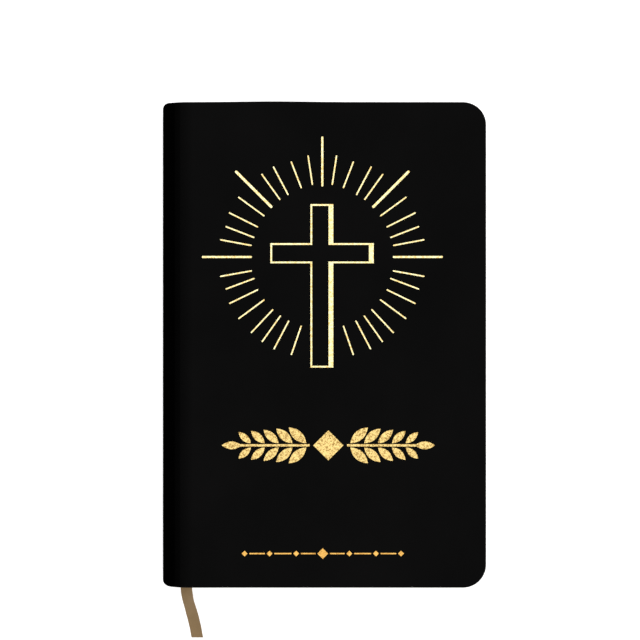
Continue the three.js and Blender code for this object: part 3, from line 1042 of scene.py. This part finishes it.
def add_strip(shell, left, right):
    """A thin solid between two lines of points across the cover, given in millimetres."""
    rails = [np.array(left) * MM, np.array(right) * MM]
    section = []
    for rail, lift in ((0, FOIL_LIFT), (1, FOIL_LIFT), (1, -FOIL_SINK), (0, -FOIL_SINK)):
        section.append([on_cover(x, y, lift) for x, y in rails[rail]])
    index = shell.add_points(np.array(section).transpose(1, 0, 2))
    shell.add_grid(index, close_columns=True)
    return index


def add_bar(shell, left, right):
    """A strip with its ends closed."""
    shell.close_ends(add_strip(shell, left, right))


def add_rule(shell, xs, y, half_width):
    """A straight bar along X."""
    add_bar(shell, [(x, y + half_width) for x in xs], [(x, y - half_width) for x in xs])


def add_patch(shell, outline):
    """A thin solid over one small outline, given in millimetres."""
    outline = np.array(outline) * MM
    top = shell.add_points(np.array([on_cover(x, y, FOIL_LIFT) for x, y in outline]))
    base = shell.add_points(np.array([on_cover(x, y, -FOIL_SINK) for x, y in outline]))
    shell.add_face(top)
    shell.add_face(base)
    shell.add_grid(np.stack([top, base]), close_columns=True)


def add_lozenge(shell, x, y, size):
    add_patch(shell, [(x - size, y), (x, y - size), (x + size, y), (x, y + size)])


def cross_outline(bar, arm):
    left, right, bottom, top = bar
    arm_left, arm_right, arm_bottom, arm_top = arm
    return [
        (left, bottom), (right, bottom), (right, arm_bottom), (arm_right, arm_bottom),
        (arm_right, arm_top), (right, arm_top), (right, top), (left, top),
        (left, arm_top), (arm_left, arm_top), (arm_left, arm_bottom), (left, arm_bottom),
    ]


def inset(box):
    """The inner box of an outline whose right side is the heavy one."""
    left, right, bottom, top = box
    return (left + STROKE, right - HEAVY_STROKE, bottom + STROKE, top - STROKE)


def make_foil_cross():
    outer = cross_outline(CROSS_BAR, CROSS_ARM)
    inner = cross_outline(inset(CROSS_BAR), inset(CROSS_ARM))
    # The points of the outer and the inner line pair up, side by side
    lines = ([], [])
    for i, start in enumerate(outer):
        after = (i + 1) % len(outer)
        count = max(2, round(math.dist(start, outer[after]) / OUTLINE_STEP))
        for line, outline in zip(lines, (outer, inner)):
            a, b = np.array(outline[i]), np.array(outline[after])
            line += [a + (b - a) * t for t in np.linspace(0, 1, count, endpoint=False)]
    shell = Shell()
    index = add_strip(shell, *lines)
    shell.add_grid(index[[-1, 0]], close_columns=True)
    cross = shell.make("foil_cross_outline", [MATERIALS["gold_foil"]], smooth=False)
    dress(cross, "front_cover", "gold_foil", "foil_cross")


def add_ray(shell, ray, side):
    """A stroke with round ends, pointing away from the middle of the cross; side -1 mirrors it."""
    inner_angle, outer_angle, inner_radius, outer_radius, width = ray
    half = width / 2
    ends = []
    for degrees, radius in ((inner_angle, inner_radius), (outer_angle, outer_radius)):
        angle = math.radians(degrees)
        ends.append(np.array(RAY_CENTRE) + radius * np.array([side * math.cos(angle), math.sin(angle)]))
    length = np.linalg.norm(ends[1] - ends[0])
    along = (ends[1] - ends[0]) / length
    across = np.array([-along[1], along[0]])
    turns = np.linspace(0.25, math.pi / 2, 5)
    stations = [(half - half * math.cos(a), half * math.sin(a)) for a in turns]
    stations += [(s, half) for s in np.linspace(half, length - half, 5)[1:-1]]
    stations += [(length - s, w) for s, w in reversed(stations[: len(turns)])]
    left = [ends[0] + along * s + across * w for s, w in stations]
    right = [ends[0] + along * s - across * w for s, w in stations]
    add_bar(shell, left, right)


def make_rays(name, rays, sides):
    shell = Shell()
    for ray in rays:
        for side in sides:
            add_ray(shell, ray, side)
    drawn = shell.make(name, [MATERIALS["gold_foil"]], smooth=False)
    dress(drawn, "front_cover", "gold_foil")


def leaf_outline(base, degrees, length, width):
    """A pointed leaf that grows from base."""
    angle = math.radians(degrees)
    along = np.array([math.cos(angle), math.sin(angle)])
    across = np.array([-along[1], along[0]])
    sides = []
    for sign in (1, -1):
        for t in np.linspace(0, 1, 9)[:-1]:
            place = t if sign > 0 else 1 - t
            swell = width / 2 * math.sin(math.pi * place) ** 0.85
            sides.append(np.array(base) + along * length * place + across * sign * swell)
    return sides


def middle_and_reach(node):
    """The middle and the half length of a CAD node on the cover, in millimetres."""
    low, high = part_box(node)
    return (low.x + high.x) / 2 / MM, (low.y + high.y) / 2 / MM, (high.x - low.x) / 2 / MM


def make_foil_ornament():
    """A plain leafy branch to each side of a lozenge, in place of a title."""
    x0, y0, reach = middle_and_reach("foil_ornament")
    spacing = (reach - LOZENGE - LEAVES_END) / (LEAF_PAIRS - 0.4)
    end_length, end_width = END_LEAF
    shell = Shell()
    add_lozenge(shell, x0, y0, LOZENGE)
    for side, heading in ((-1, 180), (1, 0)):
        stem = [x0 + side * s for s in np.linspace(LOZENGE + STEM_START, reach - STEM_END, 12)]
        add_rule(shell, stem, y0, STEM_HALF_WIDTH)
        for i in range(LEAF_PAIRS):
            x = x0 + side * (LOZENGE + FIRST_LEAVES + i * spacing)
            size = LEAF_LENGTH - LEAF_SHORTENING * i
            for lean in (-1, 1):
                base = (x, y0 + lean * LEAF_BASE)
                turn = heading + side * lean * LEAF_ANGLE
                add_patch(shell, leaf_outline(base, turn, size, size * LEAF_PROPORTION))
        base = (x0 + side * (reach - end_length), y0)
        add_patch(shell, leaf_outline(base, heading, end_length, end_width))
    ornament = shell.make("foil_branch", [MATERIALS["gold_glitter"]], smooth=False)
    dress(ornament, "front_cover", "gold_foil", "foil_ornament")


def make_foil_rule():
    """A fine rule broken by small lozenges, in place of a line of small type."""
    x0, y0, reach = middle_and_reach("foil_rule")
    shell = Shell()
    half = reach - RULE_LOZENGES[1.0]
    lozenges = [(x0 + share * half, size) for share, size in RULE_LOZENGES.items()]
    for x, size in lozenges:
        add_lozenge(shell, x, y0, size)
    for (left, left_size), (right, right_size) in zip(lozenges, lozenges[1:]):
        xs = np.linspace(left + left_size + RULE_GAP, right - right_size - RULE_GAP, 4)
        add_rule(shell, xs, y0, RULE_HALF_WIDTH)
    rule = shell.make("foil_fine_rule", [MATERIALS["orange_foil"]], smooth=False)
    dress(rule, "front_cover", "gold_foil", "foil_rule")


make_foil_cross()
make_rays("foil_long_rays", LONG_RAYS, sides=(1,))
make_rays("foil_short_rays", [(*ray, SHORT_RAY_STROKE) for ray in SHORT_RAYS], sides=(1, -1))
make_foil_ornament()
make_foil_rule()

# -------- CAD nodes that stay

KEPT_SOLIDS = {
    "cover_board": ("front_board", "back_board", "spine_card_front", "spine_card_rear"),
    "lining_paper": ("spine_lining_front", "spine_lining_rear"),
    "mull_cloth": ("mull_front", "mull_rear"),
}
for look, node_names in KEPT_SOLIDS.items():
    for node_name in node_names:
        materials = frame["nodes"][node_name].data.materials
        materials.clear()
        materials.append(MATERIALS[look])

# -------- studio
FLOOR_SIZE = 4.0
FLOOR_GAP = 0.1 * MM
FLOOR_GLOW = 0.4
WORLD_STRENGTH = 0.95
LIGHT_AIM = (0, 0, 0.01)
# Each light is (name, place, size, power)
LIGHTS = [
    ("top_light", (0.15, 0.25, 2.4), 1.1, 8),
    ("key_light", (-0.9, 1.0, 1.2), 0.9, 6),
    ("fill_light", (1.1, -0.8, 0.9), 0.9, 3),
]


def make_floor():
    mesh = bpy.data.meshes.new("floor")
    corners = [(FLOOR_SIZE * x, FLOOR_SIZE * y, 0) for x, y in ((-1, -1), (1, -1), (1, 1), (-1, 1))]
    mesh.from_pydata(corners, [], [(0, 1, 2, 3)])
    n = Nodes("floor")
    clouds = n.noise(scale=30, detail=2)
    n.colour(n.ramp(clouds, (0.0, (0.93, 0.93, 0.93)), (1.0, (0.95, 0.95, 0.95))))
    n.set(Roughness=0.9, Specular_IOR_Level=0.1)
    # A light table: its own glow takes the shadows close to white
    n.set(Emission_Color=(1, 1, 1, 1), Emission_Strength=FLOOR_GLOW)
    mesh.materials.append(n.material)
    floor = new_object("floor", mesh)
    floor.location.z = -FLOOR_GAP


def make_light(name, place, size, power):
    data = bpy.data.lights.new(name, "AREA")
    data.shape = "SQUARE"
    data.size = size
    data.energy = power
    light = new_object(name, data)
    light.location = place
    aim = Vector(LIGHT_AIM) - light.location
    light.rotation_euler = aim.to_track_quat("-Z", "Y").to_euler()


def make_studio():
    world = bpy.data.worlds.new("studio")
    world.use_nodes = True
    background = world.node_tree.nodes["Background"]
    background.inputs["Color"].default_value = (1, 1, 1, 1)
    background.inputs["Strength"].default_value = WORLD_STRENGTH
    bpy.context.scene.world = world
    bpy.context.scene.view_settings.view_transform = "Standard"
    make_floor()
    for light in LIGHTS:
        make_light(*light)


make_studio()
